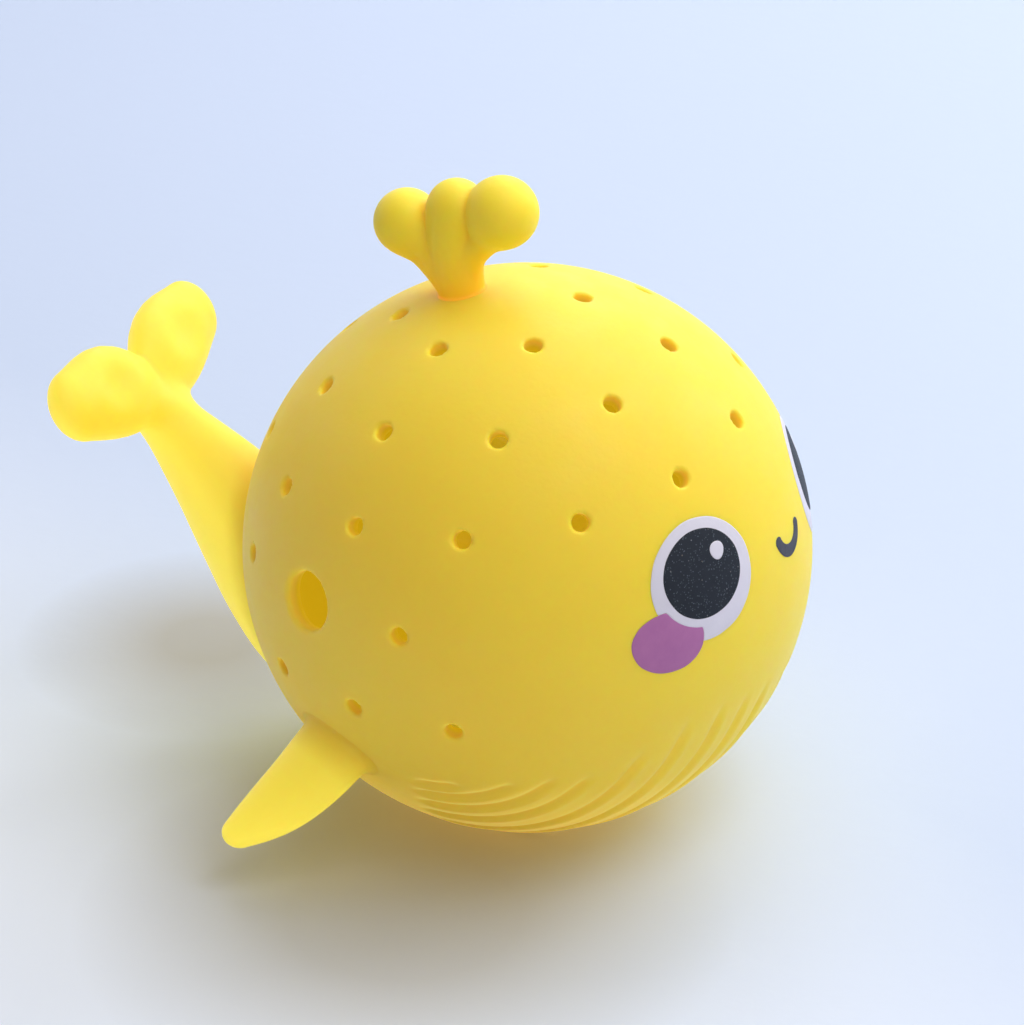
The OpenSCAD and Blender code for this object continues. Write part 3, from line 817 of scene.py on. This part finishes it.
def depth_under_skin(look, start, end):
    """0 at a distance start from the ball's centre and further out, 1 at end and further in; millimetres."""
    return look.span(look.vector("DISTANCE", (0, 0, BALL_Z * MM)), start * MM, end * MM, 0, 1)


def turned_from(look, towards, glow):
    """A glow's strength by how far the skin is turned from a direction: 0 faces it, 1 faces straight away."""
    normal = look.add("ShaderNodeNewGeometry").outputs["Normal"]
    facing = look.add("ShaderNodeVectorMath", {0: normal, 1: tuple(unit(towards))}, operation="DOT_PRODUCT")
    return look.span(facing.outputs["Value"], 1 - 2 * glow["start"], 1 - 2 * glow["end"],
                     glow["least"], glow["most"])


# Painted glow that stands for daylight through the thin wall: each sets the glow and gives back the colour
# under it

def lit_shell(look, colour):
    """The ball has a painted glow at its shaded side, underneath and inside; inside the wall and the holes its
    colour is painted deeper as painted shade.
    """
    inside = depth_under_skin(look, *WALL_FADE)
    away = turned_from(look, LIGHT_FROM, SHELL_GLOW)
    below = turned_from(look, (0, 0, 1), UNDER_GLOW)
    outer = look.maths("ADD", away, below)
    look.set(Emission_Color=look.blend(inside, rgb(*SHELL_GLOW["tone"]), rgb(*INSIDE_GLOW["tone"])),
             Emission_Strength=look.between(inside, outer, INSIDE_GLOW["strength"]))
    # Painted shade: the inside of the wall and the holes is painted deeper orange
    return look.blend(inside, colour, rgb(*PAINTED_INSIDE_SHADE_TONE))


def lit_limb(look, colour):
    """Tail and fins get a painted glow at their shaded side, less so at their roots, where their colour is
    painted deeper as painted shade.
    """
    at_ball = depth_under_skin(look, *ROOT_SHADE_FADE)
    away = turned_from(look, LIGHT_FROM, LIMB_GLOW)
    fade = look.span(at_ball, 0, 1, 1, LIMB_GLOW_AT_ROOT)
    look.set(Emission_Color=rgb(*LIMB_GLOW["tone"]), Emission_Strength=look.maths("MULTIPLY", away, fade))
    # Painted shade: the root is painted deeper orange where it meets the ball
    return look.blend(at_ball, colour, rgb(*PAINTED_ROOT_SHADE_TONE))


def lit_spout(look, colour):
    """The spout has a painted glow, strongest at its foot, where its colour is painted deepest as painted
    shade.
    """
    at_ball = depth_under_skin(look, *ROOT_SHADE_FADE)
    height = look.add("ShaderNodeSeparateXYZ", {"Vector": look.where()}).outputs["Z"]
    high, low = ((z + BALL_Z) * MM for z in FOOT_SHADE_FADE)
    foot = look.span(height, high, low, 0, FOOT_SHADE_SHARE)
    strength = look.span(foot, 0, FOOT_SHADE_SHARE, SPOUT_GLOW["strength"], FOOT_GLOW["strength"])
    look.set(Emission_Color=look.blend(foot, rgb(*SPOUT_GLOW["tone"]), rgb(*FOOT_GLOW["tone"])),
             Emission_Strength=strength)
    # Painted shade: deeper orange at the root and towards the foot
    return look.blend(foot, look.blend(at_ball, colour, rgb(*PAINTED_ROOT_SHADE_TONE)), rgb(*PAINTED_FOOT_SHADE_TONE))


def vinyl(name, pale, deep, sink, lit=None, crease=0.0, speck_share=0.05):
    """Soft matt vinyl: light sinks in a little, it is painted deeper and more orange in creases as painted
    shade, is faintly pebbled and holds dust.
    """
    look = Look(name)
    broad = look.span(look.noise(38, 2), 0.35, 0.65, 0, 1)
    colour = look.blend(broad, rgb(*pale), rgb(*deep))
    if lit:
        colour = lit(look, colour)
    # Painted shade: creases are painted deeper orange where surfaces shade each other
    if crease:
        shut = look.add("ShaderNodeAmbientOcclusion", {"Distance": CREASE_REACH * MM}, samples=6)
        crease_shade_share = look.span(shut.outputs["AO"], 0.9, 0.35, 0, crease)
        colour = look.blend(crease_shade_share, colour, rgb(*PAINTED_CREASE_SHADE_TONE))
    dots, _ = look.specks(170, 0.055, speck_share)
    colour = look.blend(look.maths("MULTIPLY", dots, 0.55), colour, rgb(*DUST_TONE))
    look.set(Base_Color=colour, Roughness=look.span(look.noise(260, 4), 0.3, 0.7, 0.46, 0.6), IOR=1.45,
             Subsurface_Weight=0.9, Subsurface_Radius=(1.0, 0.62, 0.10), Subsurface_Scale=sink,
             Specular_IOR_Level=0.42, Sheen_Weight=0.07, Sheen_Roughness=0.5)
    pebble = look.bump(look.noise(1500, 5, 0.6), 0.00003)
    look.set(Normal=look.bump(look.noise(230, 2), 0.00006, 0.6, pebble))
    return look.material


def ink(name, colour, worn, roughness=0.5):
    """Matt printed ink with a slightly uneven coat."""
    look = Look(name)
    uneven = look.span(look.noise(420, 4, 0.6), 0.35, 0.75, 0, 1)
    look.set(Base_Color=look.blend(uneven, rgb(*colour), rgb(*worn)),
             Roughness=look.span(look.noise(900, 2), 0.3, 0.7, roughness - 0.06, roughness + 0.08), IOR=1.48,
             Specular_IOR_Level=0.35)
    look.set(Normal=look.bump(look.noise(2600, 3), 0.00002))
    return look.material


def glitter_ink(name):
    """Dark ink full of fine flakes, each with its own tint."""
    look = Look(name)
    uneven = look.noise(700, 3)
    dark = look.blend(uneven, rgb(0.012, 0.015, 0.022), rgb(0.018, 0.022, 0.031))
    flake, tint = look.specks(5200, 0.42, 0.20)
    colour = look.blend(look.maths("MULTIPLY", flake, 0.28), dark,
                        look.blend(tint, rgb(0.26, 0.30, 0.40), rgb(0.14, 0.20, 0.20)))
    big, tint_big = look.specks(3000, 0.26, 0.05)
    colour = look.blend(look.maths("MULTIPLY", big, 0.4), colour,
                        look.blend(tint_big, rgb(0.45, 0.48, 0.58), rgb(0.32, 0.28, 0.22)))
    look.set(Base_Color=colour, Roughness=0.55, IOR=1.48, Specular_IOR_Level=0.2)
    look.set(Normal=look.bump(look.noise(2400, 3), 0.00003))
    return look.material


def plastic(name, colour, deep, subsurface, roughness):
    """Moulded plastic with faint flow marks and a painted glow for the yellow daylight inside the ball."""
    look = Look(name)
    flow = look.span(look.noise(120, 3), 0.35, 0.7, 0, 1)
    look.set(Base_Color=look.blend(flow, rgb(*colour), rgb(*deep)), IOR=1.49,
             Roughness=look.span(look.noise(600, 3), 0.3, 0.7, roughness - 0.07, roughness + 0.1),
             Subsurface_Weight=subsurface, Subsurface_Radius=(1.0, 0.8, 0.5), Subsurface_Scale=0.001,
             Emission_Color=rgb(*SQUEAKER_GLOW["tone"]), Emission_Strength=SQUEAKER_GLOW["strength"])
    look.set(Normal=look.bump(look.noise(1400, 4), 0.00002))
    return look.material


def brass(name):
    """Rolled strip with fine lines along its length."""
    look = Look(name)
    stretch = look.add("ShaderNodeMapping", {"Vector": look.where(), "Scale": (9000, 9000, 300)})
    lines = look.add("ShaderNodeTexNoise", {"Vector": stretch.outputs[0], "Scale": 1.0, "Detail": 2.0})
    share = lines.outputs["Fac"]
    look.set(Base_Color=look.blend(share, rgb(0.75, 0.55, 0.25), rgb(0.60, 0.42, 0.17)), Metallic=1.0,
             Roughness=look.span(share, 0.3, 0.7, 0.25, 0.4))
    look.set(Normal=look.bump(share, 0.00001))
    return look.material


YELLOW = vinyl("yellow_vinyl_look", (0.94, 0.728, 0.031), (0.92, 0.692, 0.025), 0.0015, lit_shell)
# Tail, fins and spout take copies of the ball's vinyl painted a little paler and greener, as painted light,
# with their own painted glows
LIMB_YELLOW = vinyl("limb_vinyl_look", (0.94, 0.75, 0.038), (0.92, 0.72, 0.030), 0.0028, lit_limb, crease=0.4)
SPOUT_YELLOW = vinyl("spout_vinyl_look", (0.94, 0.76, 0.035), (0.92, 0.73, 0.028), 0.0028, lit_spout,
                     crease=0.45)
WHITE_INK = ink("white_ink_look", (0.73, 0.71, 0.82), (0.69, 0.67, 0.78))
PURPLE_INK = ink("purple_ink_look", (0.46, 0.165, 0.39), (0.41, 0.14, 0.36))
DARK_INK = ink("dark_ink_look", (0.050, 0.052, 0.075), (0.035, 0.038, 0.055), 0.55)
GLITTER_INK = glitter_ink("glitter_ink_look")
PLUG_VINYL = vinyl("plug_vinyl_look", (0.80, 0.72, 0.42), (0.74, 0.64, 0.33), 0.0015, speck_share=0.02)
BELLOWS_FILM = plastic("bellows_film_look", (0.86, 0.78, 0.46), (0.78, 0.70, 0.38), 0.5, 0.42)
STIFF = plastic("stiff_plastic_look", (0.82, 0.79, 0.62), (0.76, 0.73, 0.55), 0.1, 0.35)
REED_BRASS = brass("reed_brass_look")


def dress(obj, material):
    """Gives an object one material, in its own slot where it has one."""
    if obj.material_slots:
        obj.material_slots[0].material = material
    else:
        obj.data.materials.append(material)


dress(body_skin, YELLOW)
dress(spout_skin, SPOUT_YELLOW)
for obj in (tail_skin, *fin_skins.values()):
    dress(obj, LIMB_YELLOW)
for node, obj in prints.items():
    inks = {"pupil": GLITTER_INK, "cheek": PURPLE_INK, "smile": DARK_INK}
    dress(obj, inks.get(without_side(node), WHITE_INK))
dress(plug, PLUG_VINYL)
dress(bellows, BELLOWS_FILM)
for node in ("squeaker_base", "press_cap", "whistle_tube", "reed_seat", "reed"):
    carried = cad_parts[node]
    dress(carried, REED_BRASS if node == "reed" else STIFF)
    if node in ("squeaker_base", "press_cap", "whistle_tube"):
        bevel = carried.modifiers.new("soft_edges", "BEVEL")
        bevel.width = 0.25 * MM
        bevel.segments = 3
        bevel.limit_method = "ANGLE"


# Stage

CENTRE = Vector((0, 0, BALL_Z * MM))
# Camera: its direction from the ball's centre, its distance in ball radii, and the photograph's framing
VIEW_AZIMUTH, VIEW_ELEVATION = math.radians(25), math.radians(28)
TO_CAMERA = Vector((math.sin(VIEW_AZIMUTH) * math.cos(VIEW_ELEVATION),
                    -math.cos(VIEW_AZIMUTH) * math.cos(VIEW_ELEVATION), math.sin(VIEW_ELEVATION)))
VIEW_RADII = 14
SENSOR = 36.0
IMAGE_W, IMAGE_H = 1024, 1025
BALL_PX = 285.0
BALL_AT_PX = (527.5, 547.2)

BACKGROUND = (0.68, 0.78, 0.95)
DIM_SKY = (0.06, 0.045, 0.028)

# Floor: half its side and where it melts into the background, in metres
FLOOR_HALF = 3.0
FLOOR_FADE = (0.50, 1.0)
# Painted light: the sheet is painted paler this way, between these distances from the toy
PAINTED_LIGHT_WAY = (-0.34, -0.933, 0)
PAINTED_LIGHT_FADE = (-0.03, 0.06)
# Painted shadows on the floor beside the toy: middle, radius outside and inside the soft edge, and share of
# their tone
PAINTED_FLOOR_SHADOWS = [((0, -0.035, 0), 0.040, 0.014, 0.55), ((-0.054, 0.014, 0), 0.026, 0.006, 0.8)]
PAINTED_SHADOW_TONE = (0.40, 0.38, 0.33)

# A wide bright window beyond the whale's left, in panes: azimuth from the nose, elevation and power
PANES = [(0, 90, 0.60), (-65, 60, 0.74), (-20, 60, 1.60), (25, 60, 1.80), (70, 60, 1.30), (115, 60, 1.50),
         (160, 60, 0.35), (-35, 28, 1.00), (10, 28, 0.40), (55, 28, 2.75), (100, 28, 1.80), (145, 28, 0.25),
         (190, 28, 0.40)]
PANE_DISTANCE = 0.9
PANE_SIDE = 0.5
DAYLIGHT = (1.0, 1.0, 1.0)
# Panes on the room's side give back warmer light
ROOM_SIDE = (-65, -35, 160, 190)
ROOM_LIGHT = (1.0, 0.905, 0.77)


def link(obj):
    bpy.context.scene.collection.objects.link(obj)


def add_camera():
    data = bpy.data.cameras.new("camera")
    data.sensor_width = SENSOR
    data.lens = BALL_PX * math.sqrt(VIEW_RADII ** 2 - 1) * SENSOR / IMAGE_H
    data.shift_x = -(BALL_AT_PX[0] - IMAGE_W / 2) / IMAGE_H
    data.shift_y = (BALL_AT_PX[1] - IMAGE_H / 2) / IMAGE_H
    data.clip_start = 0.01
    data.clip_end = 20
    camera = bpy.data.objects.new("camera", data)
    link(camera)
    camera.location = CENTRE + TO_CAMERA * (VIEW_RADII * BALL_R * MM)
    camera.rotation_euler = (-TO_CAMERA).to_track_quat("-Z", "Y").to_euler()
    bpy.context.scene.camera = camera


def add_lamp(name, towards, power, colour):
    """A soft square lamp that shines on the ball from a direction."""
    data = bpy.data.lights.new(name, "AREA")
    data.shape = "SQUARE"
    data.size = PANE_SIDE
    data.energy = power
    data.color = colour
    lamp = bpy.data.objects.new(name, data)
    link(lamp)
    lamp.location = CENTRE + Vector(towards).normalized() * PANE_DISTANCE
    lamp.rotation_euler = (CENTRE - lamp.location).to_track_quat("-Z", "Y").to_euler()


def seen_ray(tree):
    """1 for a ray from the camera, or one that a shiny or clear surface sends on."""
    path = tree.nodes.new("ShaderNodeLightPath")
    seen = path.outputs["Is Camera Ray"]
    for kind in ("Is Glossy Ray", "Is Transmission Ray"):
        both = tree.nodes.new("ShaderNodeMath")
        both.operation = "MAXIMUM"
        tree.links.new(seen, both.inputs[0])
        tree.links.new(path.outputs[kind], both.inputs[1])
        seen = both.outputs[0]
    return seen


def floor_look():
    """A pale sheet, faintly blue, painted paler towards one side as painted light and with painted shadows
    beside the toy; far out it melts into the background.
    """
    look = Look("floor_look")
    # Painted light: the sheet is painted paler towards one side
    near = look.span(look.vector("DOT_PRODUCT", PAINTED_LIGHT_WAY), *PAINTED_LIGHT_FADE, 0, 1)
    pale = look.blend(near, rgb(0.535, 0.625, 0.825), rgb(0.745, 0.815, 0.97))
    pale_too = look.blend(near, rgb(0.555, 0.645, 0.845), rgb(0.765, 0.835, 0.98))
    sheet = look.blend(look.span(look.noise(2.5, 2), 0.3, 0.7, 0, 1), pale, pale_too)
    # Painted shadows: darker patches beside the toy where its shade is deepest
    painted_shadows = [look.span(look.vector("DISTANCE", middle), outside, within, 0, share)
              for middle, outside, within, share in PAINTED_FLOOR_SHADOWS]
    sheet = look.blend(look.maths("MAXIMUM", *painted_shadows), sheet, rgb(*PAINTED_SHADOW_TONE))
    far = look.span(look.vector("LENGTH"), *FLOOR_FADE, 0, 1)
    melted = look.maths("MULTIPLY", far, seen_ray(look.tree))
    look.set(Base_Color=look.blend(far, sheet, rgb(0.02, 0.02, 0.02)), Roughness=0.6, Specular_IOR_Level=0.2,
             Emission_Color=rgb(*BACKGROUND), Emission_Strength=melted,
             Normal=look.bump(look.noise(300, 3), 0.00005))
    return look.material


def add_floor():
    h = FLOOR_HALF
    mesh = bpy.data.meshes.new("floor")
    mesh.from_pydata([(-h, -h, 0), (h, -h, 0), (h, h, 0), (-h, h, 0)], [], [(0, 1, 2, 3)])
    mesh.materials.append(floor_look())
    floor = bpy.data.objects.new("floor", mesh)
    link(floor)


def add_world():
    """A dim sky that is pale where it is seen."""
    world = bpy.data.worlds.new("sky")
    bpy.context.scene.world = world
    world.use_nodes = True
    tree = world.node_tree
    tone = tree.nodes.new("ShaderNodeMix")
    tone.data_type = "RGBA"
    tone.inputs[6].default_value = rgb(*DIM_SKY)
    tone.inputs[7].default_value = rgb(*BACKGROUND)
    tree.links.new(seen_ray(tree), tone.inputs[0])
    tree.links.new(tone.outputs[2], tree.nodes["Background"].inputs["Color"])
    tree.nodes["Background"].inputs["Strength"].default_value = 1.0


add_camera()
add_floor()
add_world()
for number, (azimuth, elevation, power) in enumerate(PANES):
    tint = ROOM_LIGHT if azimuth in ROOM_SIDE else DAYLIGHT
    add_lamp(f"pane_{number}", direction(azimuth, elevation), power, tint)
bpy.context.scene.view_settings.view_transform = "Standard"
